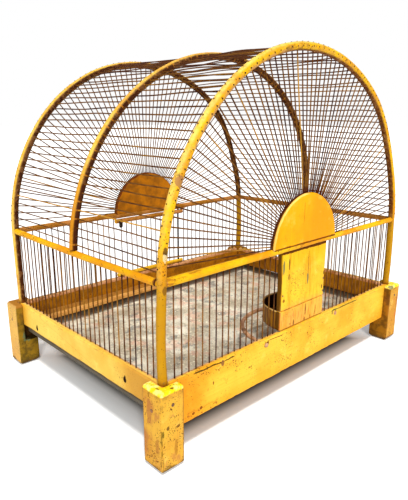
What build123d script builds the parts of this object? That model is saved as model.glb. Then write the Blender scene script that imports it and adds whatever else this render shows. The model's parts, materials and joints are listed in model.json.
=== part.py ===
from build123d import *
import os

# Arched wire bird cage on four block legs. Millimetres, +Z up.
# The front gable (board panel, feeder and perch ring) faces -Y and the door is in the rear gable, +Y.
# The origin is on the floor under the middle of the cage.

# ---------------------------------------------------------------- driving dimensions
OVERALL_X = 480.0  # across the arch, over the legs
OVERALL_Y = 342.0  # along the barrel roof, over the legs

LEG = 29.0  # square section
LEG_HEIGHT = 89.0
LEG_OVERHANG = 10.5  # a leg stands out this far past the rails it wraps
LEG_CHAMFER = 3.5
LEG_CORNER_R = 1.5

RAIL_THICKNESS = 8.5
RAIL_TOP = 88.5
END_RAIL_BOTTOM = 35.5  # front and rear rails are deep
SIDE_RAIL_BOTTOM = 58.0  # left and right rails are shallow, and the tray slides out below them
RAIL_EDGE_R = 1.2

WAIST_Z = 190.0  # centre line of the waist rails, and of the roof's half circle
WAIST_R = 3.8
WAIST_SEAT = 1.0  # a waist rail's ends are let this far into the hoops' limbs
HOOP_ROD_R = 4.75
HOOP_COVER = 0.75  # wood left in the frame outside a hoop's foot
HOOP_FOOT = 12.0  # depth of a hoop's foot in the frame
MIDDLE_HOOP_Y = 2.0  # at its feet
MIDDLE_HOOP_LEAN = 3.8  # degrees, its top leans towards the front
MIDDLE_HOOP_SEAT = 0.8  # its feet are let this far into the waist rails

WIRE_R = 0.65
WIRE_PITCH = 9.8
WIRE_SEAT = 4.0  # a wire's depth in a rail
WIRE_SEAT_ROD = 1.8  # and in a round rod
WIRE_SHORT = 0.4  # a wire through a hoop ends this far below its surface

BOARD_R = 62.5  # half-round gable boards
BOARD_T = 7.0
BOARD_SEAT = 1.5  # height of a board's base above the waist rail's centre line
BOARD_EDGE = 0.8

PANEL_W = 90.0
PANEL_T = 6.7
PANEL_FACE = 157.7  # distance of the panel's outer face from the cage's middle
PANEL_BOTTOM = 114.5
PANEL_TOP = 187.2
PANEL_EDGE = 0.6

FEEDER_GAP = 0.5  # above the feeder's front, and the thickness of the washer below it
FEEDER_RUN = 0.2  # the feeder's front clears its washer by this
CUP_R = 44.5
CUP_WALL = 1.0
CUP_RIM = 113.8
CUP_FLOOR_Z = 90.0
CUP_FLOOR_T = 4.0

PIN_R = 0.9
PIN_CLEARANCE = 0.05
PIN_INSET = 1.8  # from the feeder front's left edge
PIN_DEPTH = 4.5
WASHER_R = 2.7

PERCH_R = 2.5
PERCH_RING_R = 73.0
PERCH_Z = 82.0
PERCH_STRAIGHT = 4.5  # from the front rail's outer face to the start of the curve
PERCH_STUB = 1.0  # the rod's ends show just outside the front rail

DOOR_LEFT = -62.5
DOOR_RIGHT = 76.0
DOOR_SIDE_GAP = 4.0  # to the nearest fixed wire
DOOR_TOP_R = 3.5
DOOR_TOP_Z = 180.5
DOOR_BOTTOM_R = 3.0
DOOR_BOTTOM_Z = 92.5
HINGE_ROD_R = 1.5
HINGE_ROD_X = 67.0
HINGE_CLEARANCE = 0.05

CATCH_X = -56.0
CATCH_W = 6.0
CATCH_LENGTH = 13.0
CATCH_END_R = 2.9
CATCH_T = 1.5
CATCH_NAIL_R = 0.9
CATCH_NAIL_HEAD_R = 2.0
CATCH_NAIL_HEAD_T = 0.6
CATCH_GAP = 0.6  # between the catch and the door's top bar
CATCH_PLAY = 0.4  # between the catch and its nail's head

TRAY_X = 452.0
TRAY_Y = 282.0
TRAY_BOTTOM = 48.3
TRAY_RIM = 57.5
TRAY_SHEET = 0.8
RUNNER_LENGTH = 410.0
RUNNER_DEPTH = 22.0
RUNNER_Z = (38.0, 48.0)
GUIDE_DEPTH = 17.0
GUIDE_Z = (58.2, 68.0)

NAIL_R = 0.9
NAIL_HEAD_R = 1.9
SMALL_NAIL_HEAD_R = 1.3
NAIL_HEAD_T = 0.3

# ---------------------------------------------------------------- worked out from them
FRAME_X = OVERALL_X / 2 - LEG_OVERHANG  # outer faces of the rails
FRAME_Y = OVERALL_Y / 2 - LEG_OVERHANG
LEG_NOTCH = LEG - LEG_OVERHANG
INNER_X = FRAME_X - RAIL_THICKNESS
INNER_Y = FRAME_Y - RAIL_THICKNESS
HOOP_X = FRAME_X - HOOP_ROD_R - HOOP_COVER
HOOP_Y = FRAME_Y - HOOP_ROD_R - HOOP_COVER
LIMB_X = HOOP_X - HOOP_ROD_R  # inner edge of a hoop's upright limb
LIMB_Y = HOOP_Y - HOOP_ROD_R
PANEL_BACK = PANEL_FACE - PANEL_T
FEEDER_BOTTOM = RAIL_TOP + FEEDER_GAP + FEEDER_RUN
FEEDER_TOP = PANEL_BOTTOM - FEEDER_GAP
PIN_X = -PANEL_W / 2 + PIN_INSET
PIN_Y = -(PANEL_FACE + PANEL_BACK) / 2
CATCH_FACE = HOOP_Y - DOOR_TOP_R - CATCH_GAP

SIDES = {"left": -1, "right": 1}
ENDS = {"front": -1, "rear": 1}


def save(piece, name):
    piece.part.label = name
    export_step(piece.part, f"parts/{name}.step")


def evenly(first, last, pitch=WIRE_PITCH):
    """Places from first to last, as near to the pitch as an even spacing allows."""
    gaps = round(abs(last - first) / pitch)
    return [first + (last - first) * i / gaps for i in range(gaps + 1)]


os.makedirs("parts", exist_ok=True)


# ---------------------------------------------------------------- legs and base frame
def block_leg(side, end):
    """A square block whose upper half is cut to an L that wraps the frame's corner."""
    with BuildPart() as leg:
        with BuildSketch():
            with Locations((side * (OVERALL_X - LEG) / 2, end * (OVERALL_Y - LEG) / 2)):
                Rectangle(LEG, LEG)
        extrude(amount=LEG_HEIGHT)
        chamfer(leg.faces().sort_by(Axis.Z)[0].edges(), LEG_CHAMFER)
        top = leg.faces().sort_by(Axis.Z)[-1].edges()
        outer = top.filter_by(Axis.Y).sort_by(Axis.X)[::side][-1:]
        outer += top.filter_by(Axis.X).sort_by(Axis.Y)[::end][-1:]
        chamfer(outer, LEG_CHAMFER / 2)
        uprights = leg.edges().filter_by(Axis.Z)
        by_outwardness = uprights.sort_by(lambda edge: side * edge.center().X + end * edge.center().Y)
        fillet(by_outwardness[-1], LEG_CORNER_R)
        with BuildSketch(Plane.XY.offset(END_RAIL_BOTTOM)):
            with Locations((side * (FRAME_X - LEG_NOTCH / 2), end * (FRAME_Y - LEG_NOTCH / 2))):
                Rectangle(LEG_NOTCH, LEG_NOTCH)
        extrude(amount=LEG_HEIGHT - END_RAIL_BOTTOM, mode=Mode.SUBTRACT)
    return leg


def end_rail(end, perch_holes=False):
    """Front or rear rail: full width, with holes for the hoop's two feet."""
    with BuildPart() as rail:
        with BuildSketch(Plane.XY.offset(END_RAIL_BOTTOM)):
            with Locations((0, end * (FRAME_Y - RAIL_THICKNESS / 2))):
                Rectangle(2 * FRAME_X, RAIL_THICKNESS)
        extrude(amount=RAIL_TOP - END_RAIL_BOTTOM)
        fillet(rail.faces().sort_by(Axis.Y)[::end][-1].edges().filter_by(Axis.X), RAIL_EDGE_R)
        with Locations((-HOOP_X, end * HOOP_Y, RAIL_TOP), (HOOP_X, end * HOOP_Y, RAIL_TOP)):
            Hole(HOOP_ROD_R, depth=HOOP_FOOT)
        if perch_holes:
            with BuildSketch(Plane.XZ):
                with Locations((-PERCH_RING_R, PERCH_Z), (PERCH_RING_R, PERCH_Z)):
                    Circle(PERCH_R)
            extrude(amount=OVERALL_Y, mode=Mode.SUBTRACT)
    return rail


def side_rail(side):
    """Left or right rail: fits between the end rails, and is shallow so that the tray passes below.

    The hoops' feet are wider than a rail, so they also bite into this rail's two ends.
    """
    with BuildPart() as rail:
        with BuildSketch(Plane.XY.offset(SIDE_RAIL_BOTTOM)):
            with Locations((side * (FRAME_X - RAIL_THICKNESS / 2), 0)):
                Rectangle(RAIL_THICKNESS, 2 * INNER_Y)
        extrude(amount=RAIL_TOP - SIDE_RAIL_BOTTOM)
        fillet(rail.faces().sort_by(Axis.X)[::side][-1].edges().filter_by(Axis.Y), RAIL_EDGE_R)
        with Locations((side * HOOP_X, -HOOP_Y, RAIL_TOP), (side * HOOP_X, HOOP_Y, RAIL_TOP)):
            Hole(HOOP_ROD_R, depth=HOOP_FOOT)
    return rail


for end_name, end_sign in ENDS.items():
    for side_name, side_sign in SIDES.items():
        save(block_leg(side_sign, end_sign), f"leg_{end_name}_{side_name}")

save(end_rail(-1, perch_holes=True), "rail_front")
save(end_rail(1), "rail_rear")
save(side_rail(-1), "rail_left")
save(side_rail(1), "rail_right")


# ---------------------------------------------------------------- hoops and waist rails
def end_hoop(y):
    """A bent cane: two upright limbs and a half circle between them."""
    foot = RAIL_TOP - HOOP_FOOT
    with BuildPart() as hoop:
        with BuildLine(Plane.XZ.offset(-y)) as route:
            Line((-HOOP_X, foot), (-HOOP_X, WAIST_Z))
            ThreePointArc((-HOOP_X, WAIST_Z), (0, WAIST_Z + HOOP_X), (HOOP_X, WAIST_Z))
            Line((HOOP_X, WAIST_Z), (HOOP_X, foot))
        with BuildSketch(Plane.XY.offset(foot)):
            with Locations((-HOOP_X, y)):
                Circle(HOOP_ROD_R)
        sweep(path=route.wire())
    return hoop


LEANING_UP = Vector(0, 0, 1).rotate(Axis.X, MIDDLE_HOOP_LEAN)
LEANING_FRONT = Vector(0, -1, 0).rotate(Axis.X, MIDDLE_HOOP_LEAN)

with BuildPart() as hoop_middle:
    leaning_plane = Plane(origin=(0, MIDDLE_HOOP_Y, WAIST_Z), x_dir=(1, 0, 0), z_dir=LEANING_FRONT)
    with BuildLine(leaning_plane) as half_circle:
        ThreePointArc((-HOOP_X, 0), (0, HOOP_X), (HOOP_X, 0))
    with BuildSketch(Plane(origin=(-HOOP_X, MIDDLE_HOOP_Y, WAIST_Z), z_dir=LEANING_UP)):
        Circle(HOOP_ROD_R)
    sweep(path=half_circle.wire())
    split(bisect_by=Plane.XY.offset(WAIST_Z + WAIST_R - MIDDLE_HOOP_SEAT), keep=Keep.TOP)


def end_waist_rail(end, panel_flat=False):
    """Rod between a hoop's limbs, flattened where a board stands on it or is nailed under it."""
    with BuildPart() as rail:
        with BuildSketch(Plane.YZ):
            with Locations((end * HOOP_Y, WAIST_Z)):
                Circle(WAIST_R)
        extrude(amount=LIMB_X + WAIST_SEAT, both=True)
        with Locations((0, end * HOOP_Y, WAIST_Z + BOARD_SEAT)):
            Box(2 * BOARD_R, 4 * WAIST_R, WAIST_R, mode=Mode.SUBTRACT,
                align=(Align.CENTER, Align.CENTER, Align.MIN))
        if panel_flat:
            with Locations((0, end * HOOP_Y, PANEL_TOP)):
                Box(PANEL_W, 4 * WAIST_R, WAIST_R, mode=Mode.SUBTRACT,
                    align=(Align.CENTER, Align.CENTER, Align.MAX))
    return rail


def side_waist_rail(side):
    with BuildPart() as rail:
        with BuildSketch(Plane.XZ):
            with Locations((side * HOOP_X, WAIST_Z)):
                Circle(WAIST_R)
        extrude(amount=LIMB_Y + WAIST_SEAT, both=True)
    return rail


save(end_hoop(-HOOP_Y), "hoop_front")
save(hoop_middle, "hoop_middle")
save(end_hoop(HOOP_Y), "hoop_rear")
save(end_waist_rail(-1, panel_flat=True), "waist_rail_front")
save(end_waist_rail(1), "waist_rail_rear")
save(side_waist_rail(-1), "waist_rail_left")
save(side_waist_rail(1), "waist_rail_right")


# ---------------------------------------------------------------- gable boards and front panel
def gable_board(end):
    """Half-round board on the waist rail, where the fan of wires meets."""
    with BuildPart() as board:
        with BuildSketch(Plane.XZ.offset(-end * HOOP_Y)):
            with Locations((0, WAIST_Z)):
                Circle(BOARD_R)
            with Locations((0, WAIST_Z + BOARD_SEAT)):
                Rectangle(3 * BOARD_R, 2 * BOARD_R, mode=Mode.SUBTRACT,
                          align=(Align.CENTER, Align.MAX))
        extrude(amount=BOARD_T / 2, both=True)
        chamfer(board.faces().sort_by(Axis.Y)[::end][-1].edges(), BOARD_EDGE)
    return board


def panel_board(bottom, top):
    """A flat board in the front panel's plane."""
    with BuildPart() as board:
        with BuildSketch(Plane.XZ.offset(PANEL_BACK)):
            with Locations((0, (bottom + top) / 2)):
                Rectangle(PANEL_W, top - bottom)
        extrude(amount=PANEL_T)
        chamfer(board.faces().sort_by(Axis.Y)[0].edges(), PANEL_EDGE)
    return board


save(gable_board(-1), "gable_board_front")
save(gable_board(1), "gable_board_rear")
save(panel_board(PANEL_BOTTOM, PANEL_TOP), "front_panel")

# ---------------------------------------------------------------- wires
FAN_WIRES = 70
FAN_STEP = 2.5  # degrees, so the wires are one pitch apart on the hoop
FAN_SEAT = 3.0  # a wire's depth in the half-round board
FAN_INNER = BOARD_R - FAN_SEAT
FAN_OUTER = HOOP_X + HOOP_ROD_R - WIRE_SHORT
FAN_SWEEP = FAN_STEP * (FAN_WIRES - 1)
ROOF_WIRES = FAN_WIRES + 1  # one between each two fan wires, and one at each end
ROOF_SWEEP = FAN_STEP * (ROOF_WIRES - 1)
ROOF_HALF = HOOP_Y + HOOP_ROD_R - WIRE_SHORT


def wire_fan(end):
    """Straight wires from the hoop to the half-round board."""
    with BuildPart(Plane(origin=(0, end * HOOP_Y, WAIST_Z), x_dir=(1, 0, 0), z_dir=(0, -1, 0))) as fan:
        with PolarLocations((FAN_INNER + FAN_OUTER) / 2, FAN_WIRES, (180 - FAN_SWEEP) / 2,
                            FAN_SWEEP, endpoint=True):
            Cylinder(WIRE_R, FAN_OUTER - FAN_INNER, rotation=(0, 90, 0))
    return fan


with BuildPart() as roof_wires:
    with BuildSketch(Plane.XZ):
        with Locations((0, WAIST_Z)):
            with PolarLocations(HOOP_X, ROOF_WIRES, (180 - ROOF_SWEEP) / 2, ROOF_SWEEP, endpoint=True):
                Circle(WIRE_R)
    extrude(amount=ROOF_HALF, both=True)


def wire_row(points, bottom, top):
    """Upright wires at the given places."""
    with BuildPart() as row:
        with BuildSketch(Plane.XY.offset(bottom)):
            with Locations(*points):
                Circle(WIRE_R)
        extrude(amount=top - bottom)
    return row


save(wire_fan(-1), "gable_wires_front")
save(wire_fan(1), "gable_wires_rear")
save(roof_wires, "roof_wires")

ROW_BOTTOM = RAIL_TOP - WIRE_SEAT
ROW_TOP = WAIST_Z - WAIST_R + WIRE_SEAT_ROD
side_places = evenly(-LIMB_Y + WIRE_PITCH, LIMB_Y - WIRE_PITCH)
for side_name, side_sign in SIDES.items():
    front_places = [side_sign * x for x in evenly(PANEL_W / 2 + WIRE_PITCH, LIMB_X - WIRE_PITCH)]
    save(wire_row([(x, -HOOP_Y) for x in front_places], ROW_BOTTOM, ROW_TOP), f"front_wires_{side_name}")
    save(wire_row([(side_sign * HOOP_X, y) for y in side_places], ROW_BOTTOM, ROW_TOP),
         f"side_wires_{side_name}")

rear_left_places = evenly(WIRE_PITCH - LIMB_X, DOOR_LEFT - DOOR_SIDE_GAP)
rear_right_places = evenly(DOOR_RIGHT + DOOR_SIDE_GAP, LIMB_X - WIRE_PITCH)
save(wire_row([(x, HOOP_Y) for x in rear_left_places], ROW_BOTTOM, ROW_TOP), "rear_wires_left")
save(wire_row([(x, HOOP_Y) for x in rear_right_places], ROW_BOTTOM, ROW_TOP), "rear_wires_right")

# ---------------------------------------------------------------- perch ring at the feeder
PERCH_END = FRAME_Y + PERCH_STUB
PERCH_CENTRE_Y = -FRAME_Y + PERCH_STRAIGHT

with BuildPart() as perch_ring:
    with BuildLine(Plane.XY.offset(PERCH_Z)) as ring_route:
        Line((-PERCH_RING_R, -PERCH_END), (-PERCH_RING_R, PERCH_CENTRE_Y))
        ThreePointArc((-PERCH_RING_R, PERCH_CENTRE_Y), (0, PERCH_CENTRE_Y + PERCH_RING_R),
                      (PERCH_RING_R, PERCH_CENTRE_Y))
        Line((PERCH_RING_R, PERCH_CENTRE_Y), (PERCH_RING_R, -PERCH_END))
    with BuildSketch(Plane.XZ.offset(PERCH_END)):
        with Locations((-PERCH_RING_R, PERCH_Z)):
            Circle(PERCH_R)
    sweep(path=ring_route.wire())

save(perch_ring, "perch_ring")


# ---------------------------------------------------------------- sliding tray and its battens
def batten(end, length, depth, heights):
    """Strip along an end rail's inner face, under or over the tray's edge."""
    bottom, top = heights
    with BuildPart() as strip:
        with BuildSketch(Plane.XY.offset(bottom)):
            with Locations((0, end * (INNER_Y - depth / 2))):
                Rectangle(length, depth)
        extrude(amount=top - bottom)
    return strip


for end_name, end_sign in ENDS.items():
    save(batten(end_sign, RUNNER_LENGTH, RUNNER_DEPTH, RUNNER_Z), f"tray_runner_{end_name}")
    save(batten(end_sign, 2 * INNER_X, GUIDE_DEPTH, GUIDE_Z), f"tray_guide_{end_name}")

with BuildPart() as tray:
    with BuildSketch(Plane.XY.offset(TRAY_BOTTOM)):
        Rectangle(TRAY_X, TRAY_Y)
    extrude(amount=TRAY_RIM - TRAY_BOTTOM)
    offset(amount=-TRAY_SHEET, openings=tray.faces().sort_by(Axis.Z)[-1])

save(tray, "tray")

# ---------------------------------------------------------------- rear door
with BuildPart() as door_top_bar:
    with BuildSketch(Plane.YZ.offset(DOOR_LEFT)):
        with Locations((HOOP_Y, DOOR_TOP_Z)):
            Circle(DOOR_TOP_R)
    extrude(amount=DOOR_RIGHT - DOOR_LEFT)
    with Locations((HINGE_ROD_X, HOOP_Y, DOOR_TOP_Z)):
        Hole(HINGE_ROD_R + HINGE_CLEARANCE)

with BuildPart() as door_bottom_bar:
    with BuildSketch(Plane.YZ.offset(DOOR_LEFT)):
        with Locations((HOOP_Y, DOOR_BOTTOM_Z)):
            Circle(DOOR_BOTTOM_R)
    extrude(amount=DOOR_RIGHT - DOOR_LEFT)
    with Locations((HINGE_ROD_X, HOOP_Y, DOOR_BOTTOM_Z)):
        Hole(HINGE_ROD_R + HINGE_CLEARANCE)

door_places = evenly(DOOR_LEFT, HINGE_ROD_X)[1:-1]
door_wires = wire_row([(x, HOOP_Y) for x in door_places],
                      DOOR_BOTTOM_Z + DOOR_BOTTOM_R - WIRE_SEAT_ROD,
                      DOOR_TOP_Z - DOOR_TOP_R + WIRE_SEAT_ROD)

with BuildPart() as door_hinge_rod:
    with BuildSketch(Plane.XY.offset(ROW_BOTTOM)):
        with Locations((HINGE_ROD_X, HOOP_Y)):
            Circle(HINGE_ROD_R)
    extrude(amount=ROW_TOP - ROW_BOTTOM)

save(door_top_bar, "door_top_bar")
save(door_bottom_bar, "door_bottom_bar")
save(door_wires, "door_wires")
save(door_hinge_rod, "door_hinge_rod")

# The catch hangs from a nail in the top bar, and turns up behind the waist rail to hold the door shut.
CATCH_PIVOT_INSET = CATCH_W / 2

with BuildPart() as door_catch:
    with BuildSketch(Plane.XZ.offset(-CATCH_FACE)):
        with Locations((CATCH_X, DOOR_TOP_Z + CATCH_PIVOT_INSET - CATCH_LENGTH / 2)):
            RectangleRounded(CATCH_W, CATCH_LENGTH, CATCH_END_R)
        with Locations((CATCH_X, DOOR_TOP_Z)):
            Circle(CATCH_NAIL_R + PIN_CLEARANCE, mode=Mode.SUBTRACT)
    extrude(amount=CATCH_T)

CATCH_HEAD_FACE = CATCH_FACE - CATCH_T - CATCH_PLAY

with BuildPart() as door_catch_nail:
    with BuildSketch(Plane.XZ.offset(-CATCH_HEAD_FACE)):
        with Locations((CATCH_X, DOOR_TOP_Z)):
            Circle(CATCH_NAIL_HEAD_R)
    extrude(amount=CATCH_NAIL_HEAD_T)
    with BuildSketch(Plane.XZ.offset(-CATCH_HEAD_FACE)):
        with Locations((CATCH_X, DOOR_TOP_Z)):
            Circle(CATCH_NAIL_R)
    extrude(amount=-(HOOP_Y - CATCH_HEAD_FACE))

save(door_catch, "door_catch")
save(door_catch_nail, "door_catch_nail")


# ---------------------------------------------------------------- swing-out feeder
with BuildPart() as feeder_front:
    add(panel_board(FEEDER_BOTTOM, FEEDER_TOP).part)
    with Locations((PIN_X, PIN_Y, FEEDER_TOP)):
        Hole(PIN_R + PIN_CLEARANCE, depth=PIN_DEPTH + FEEDER_GAP)
    with BuildSketch(Plane.XY.offset(FEEDER_BOTTOM)):
        with Locations((PIN_X, PIN_Y)):
            Circle(PIN_R + PIN_CLEARANCE)
    extrude(amount=PIN_DEPTH + FEEDER_GAP, mode=Mode.SUBTRACT)


def half_disc(radius, bottom, height):
    """Half cylinder against the back of the feeder's front."""
    with BuildPart() as disc:
        with BuildSketch(Plane.XY.offset(bottom)):
            with Locations((0, -PANEL_BACK)):
                Circle(radius)
                Rectangle(3 * radius, 2 * radius, mode=Mode.SUBTRACT, align=(Align.CENTER, Align.MAX))
        extrude(amount=height)
    return disc


with BuildPart() as feeder_cup:
    add(half_disc(CUP_R, CUP_FLOOR_Z, CUP_RIM - CUP_FLOOR_Z).part)
    add(half_disc(CUP_R - CUP_WALL, CUP_FLOOR_Z, CUP_RIM - CUP_FLOOR_Z).part, mode=Mode.SUBTRACT)

with BuildPart() as feeder_hinge_pins:
    with BuildSketch(Plane.XY.offset(ROW_BOTTOM)):
        with Locations((PIN_X, PIN_Y)):
            Circle(PIN_R)
    extrude(amount=FEEDER_BOTTOM + PIN_DEPTH - ROW_BOTTOM)
    with BuildSketch(Plane.XY.offset(RAIL_TOP)):
        with Locations((PIN_X, PIN_Y)):
            Circle(WASHER_R)
    extrude(amount=FEEDER_GAP)
    with BuildSketch(Plane.XY.offset(FEEDER_TOP - PIN_DEPTH)):
        with Locations((PIN_X, PIN_Y)):
            Circle(PIN_R)
    extrude(amount=2 * PIN_DEPTH + FEEDER_GAP)

save(feeder_front, "feeder_front")
save(feeder_cup, "feeder_cup")
save(half_disc(CUP_R - CUP_WALL, CUP_FLOOR_Z, CUP_FLOOR_T), "feeder_cup_floor")
save(feeder_hinge_pins, "feeder_hinge_pins")


# ---------------------------------------------------------------- nails
def nails(planes, length, head_r=NAIL_HEAD_R):
    """Round-headed nails; each plane lies on the wood's face, and its normal points out of the wood."""
    with BuildPart() as group:
        for plane in planes:
            with BuildSketch(plane):
                Circle(head_r)
            extrude(amount=NAIL_HEAD_T)
            with BuildSketch(plane):
                Circle(NAIL_R)
            extrude(amount=-length)
    return group


LEG_NAIL_LENGTH = 18.0
LEG_NAIL_Z = 66.0
leg_nail_planes = []
for end_sign in ENDS.values():
    for side_sign in SIDES.values():
        across = (side_sign * OVERALL_X / 2, end_sign * (OVERALL_Y - LEG) / 2, LEG_NAIL_Z)
        along = (side_sign * (OVERALL_X - LEG) / 2, end_sign * OVERALL_Y / 2, LEG_NAIL_Z + 2 * LEG_CHAMFER)
        leg_nail_planes.append(Plane(origin=across, z_dir=(side_sign, 0, 0)))
        leg_nail_planes.append(Plane(origin=along, z_dir=(0, end_sign, 0)))

PANEL_NAIL_LENGTH = 5.0
PANEL_NAIL_INSET = 2.6
PANEL_NAILS = [(-1, 134.0), (1, 138.0), (1, 121.0)]  # side of the panel, height
panel_nail_planes = [
    Plane(origin=(side * (PANEL_W / 2 - PANEL_NAIL_INSET), -PANEL_FACE, z), z_dir=(0, -1, 0))
    for side, z in PANEL_NAILS
]

CUP_NAIL_LENGTH = 8.0
CUP_NAIL_ANGLES = (15, 52, 90, 128, 165)
cup_nail_planes = []
for angle in CUP_NAIL_ANGLES:
    outward = Vector(1, 0, 0).rotate(Axis.Z, angle)
    head = Vector(0, -PANEL_BACK, CUP_FLOOR_Z + CUP_FLOOR_T / 2) + outward * CUP_R
    cup_nail_planes.append(Plane(origin=head, z_dir=outward))

save(nails(leg_nail_planes, LEG_NAIL_LENGTH), "leg_nails")
save(nails(panel_nail_planes, PANEL_NAIL_LENGTH, SMALL_NAIL_HEAD_R), "panel_nails")
save(nails(cup_nail_planes, CUP_NAIL_LENGTH, SMALL_NAIL_HEAD_R), "feeder_cup_nails")
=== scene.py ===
import json
import math
import random

import bmesh
import bpy
import numpy as np
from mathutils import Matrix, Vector, noise
from numpy.linalg import norm


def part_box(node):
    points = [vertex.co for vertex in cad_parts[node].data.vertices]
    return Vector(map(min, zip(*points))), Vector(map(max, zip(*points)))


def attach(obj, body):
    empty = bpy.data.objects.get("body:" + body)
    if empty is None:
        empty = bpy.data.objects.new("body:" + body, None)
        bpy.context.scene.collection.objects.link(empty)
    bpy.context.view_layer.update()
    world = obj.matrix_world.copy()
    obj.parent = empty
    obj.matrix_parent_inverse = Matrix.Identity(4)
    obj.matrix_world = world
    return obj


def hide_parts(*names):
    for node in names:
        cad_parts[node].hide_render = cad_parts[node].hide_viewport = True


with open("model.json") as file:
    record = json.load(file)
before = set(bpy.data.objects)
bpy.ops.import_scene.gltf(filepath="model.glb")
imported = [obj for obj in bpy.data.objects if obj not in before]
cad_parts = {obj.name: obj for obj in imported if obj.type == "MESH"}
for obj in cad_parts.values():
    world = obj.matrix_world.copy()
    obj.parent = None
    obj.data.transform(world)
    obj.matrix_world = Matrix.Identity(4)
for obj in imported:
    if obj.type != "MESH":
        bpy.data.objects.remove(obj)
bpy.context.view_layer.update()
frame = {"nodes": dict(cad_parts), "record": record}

# ---- places read from the frame (metres)
MM = 0.001
RECORD = frame["record"]
BODY_OF = {n: body for body, nodes in RECORD["behaviour"]["bodies"].items() for n in nodes}
SLOT_OF = {row["node"]: row["material_slot"] for row in RECORD["subparts"]}

hoop_low, hoop_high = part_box("hoop_front")
ROD_R = (hoop_high.y - hoop_low.y) / 2
HOOP_X = hoop_high.x - ROD_R
HOOP_Y = -(hoop_high.y + hoop_low.y) / 2
FOOT_Z = hoop_low.z
WAIST_Z = hoop_high.z - ROD_R - HOOP_X
middle_low, middle_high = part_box("hoop_middle")
MIDDLE_FOOT_Y = middle_high.y - ROD_R  # the middle hoop leans to the front
MIDDLE_TOP_Y = middle_low.y + ROD_R
MIDDLE_FOOT_Z = middle_low.z

rail_low, rail_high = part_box("rail_front")
side_rail_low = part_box("rail_left")[0]
leg_low, leg_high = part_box("leg_front_left")
panel_low, panel_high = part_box("front_panel")
feeder_low, feeder_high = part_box("feeder_front")
board_low, board_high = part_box("gable_board_front")
tray_low, tray_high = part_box("tray")
cup_low, cup_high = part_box("feeder_cup")
DOOR_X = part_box("door_top_bar")[1].x
WIRE_R = (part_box("side_wires_left")[1].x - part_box("side_wires_left")[0].x) / 2
VISIBLE_WIRE_R = 1.15 * WIRE_R  # rust and old paint make them thicker
WIRE_STEP = math.radians(2.5)  # between two wires on a hoop

# places for the node trees, in millimetres
WAIST, ARCH, HOOP_AT = WAIST_Z / MM, HOOP_X / MM, HOOP_Y / MM
RAIL_TOP, RAIL_BOTTOM, FRONT_FACE = rail_high.z / MM, rail_low.z / MM, rail_low.y / MM
SIDE_RAIL_BOTTOM, LEFT_FACE = side_rail_low.z / MM, side_rail_low.x / MM
LEG_TOP, LEG_SIDE, LEG_FRONT = leg_high.z / MM, -leg_low.x / MM, -leg_low.y / MM
LIMB_Y = (HOOP_Y - ROD_R) / MM  # the limbs' inner side


def new_object(name, data):
    made = bpy.data.objects.new(name, data)
    bpy.context.scene.collection.objects.link(made)
    return made


# ---- camera, light and floor
def make_camera():
    data = bpy.data.cameras.new("camera")
    data.sensor_width = 36
    data.lens = 36.2
    data.shift_x = 0.014
    data.shift_y = 0.010
    camera = new_object("camera", data)
    camera.location = (-0.5005, -0.4968, 0.3373)
    forward = Vector((0.6612, 0.7027, -0.2629))
    camera.rotation_euler = forward.to_track_quat("-Z", "Y").to_euler()
    bpy.context.scene.camera = camera


def make_light(name, energy, angle_deg, direction, colour=(1, 1, 1)):
    data = bpy.data.lights.new(name, "SUN")
    data.energy = energy
    data.angle = math.radians(angle_deg)
    data.color = colour
    light = new_object(name, data)
    light.rotation_euler = Vector(direction).to_track_quat("-Z", "Y").to_euler()


def make_world(ambient):
    """Even white studio light; the camera sees it as plain white."""
    world = bpy.data.worlds.new("studio")
    world.use_nodes = True
    nodes, links = world.node_tree.nodes, world.node_tree.links
    background = nodes["Background"]
    path = nodes.new("ShaderNodeLightPath")
    strength = nodes.new("ShaderNodeMix")
    strength.inputs["A"].default_value = ambient
    strength.inputs["B"].default_value = 1.0
    links.new(path.outputs["Is Camera Ray"], strength.inputs["Factor"])
    links.new(strength.outputs["Result"], background.inputs["Strength"])
    background.inputs["Color"].default_value = (1, 1, 1, 1)
    bpy.context.scene.world = world


def make_floor(half_size, lift, material):
    mesh = bpy.data.meshes.new("floor")
    corners = ((-1, -1), (1, -1), (1, 1), (-1, 1))
    mesh.from_pydata([(half_size * x, half_size * y, lift) for x, y in corners], [], [(0, 1, 2, 3)])
    mesh.materials.append(material)
    new_object("floor", mesh)


bpy.context.scene.view_settings.view_transform = "Standard"
make_camera()
make_world(ambient=0.30)
make_light("key_high", 2.6, 7, (0.25, 0.36, -1.0), (1.0, 0.98, 0.95))
make_light("key_low", 1.45, 10, (0.95, 1.30, -1.0), (1.0, 0.98, 0.95))


# ---- reading the frame's shapes
def coordinates(mesh):
    found = np.zeros(len(mesh.vertices) * 3, np.float32)
    mesh.vertices.foreach_get("co", found)
    return found.reshape(-1, 3).astype(float)


def rod_axes(node):
    """The two end centres of each straight rod in a CAD node of separate rods."""
    mesh = frame["nodes"][node].data
    points = coordinates(mesh)
    keys = {}
    index = [keys.setdefault(tuple(np.round(p / (0.01 * MM)).astype(int)), len(keys)) for p in points]
    parent = list(range(len(keys)))

    def root(i):
        while parent[i] != i:
            parent[i] = parent[parent[i]]
            i = parent[i]
        return i

    for edge in mesh.edges:
        parent[root(index[edge.vertices[0]])] = root(index[edge.vertices[1]])
    groups = {}
    for key, i in keys.items():
        groups.setdefault(root(i), []).append(np.array(key) * 0.01 * MM)
    axes = []
    for group in groups.values():
        group = np.array(group)
        middle = group.mean(axis=0)
        far = group[norm(group - middle, axis=1).argmax()] - middle
        ahead = (group - middle) @ far > 0
        axes.append((group[~ahead].mean(axis=0), group[ahead].mean(axis=0)))
    return sorted(axes, key=lambda pair: tuple(np.round(pair[0] + pair[1], 5)))


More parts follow.
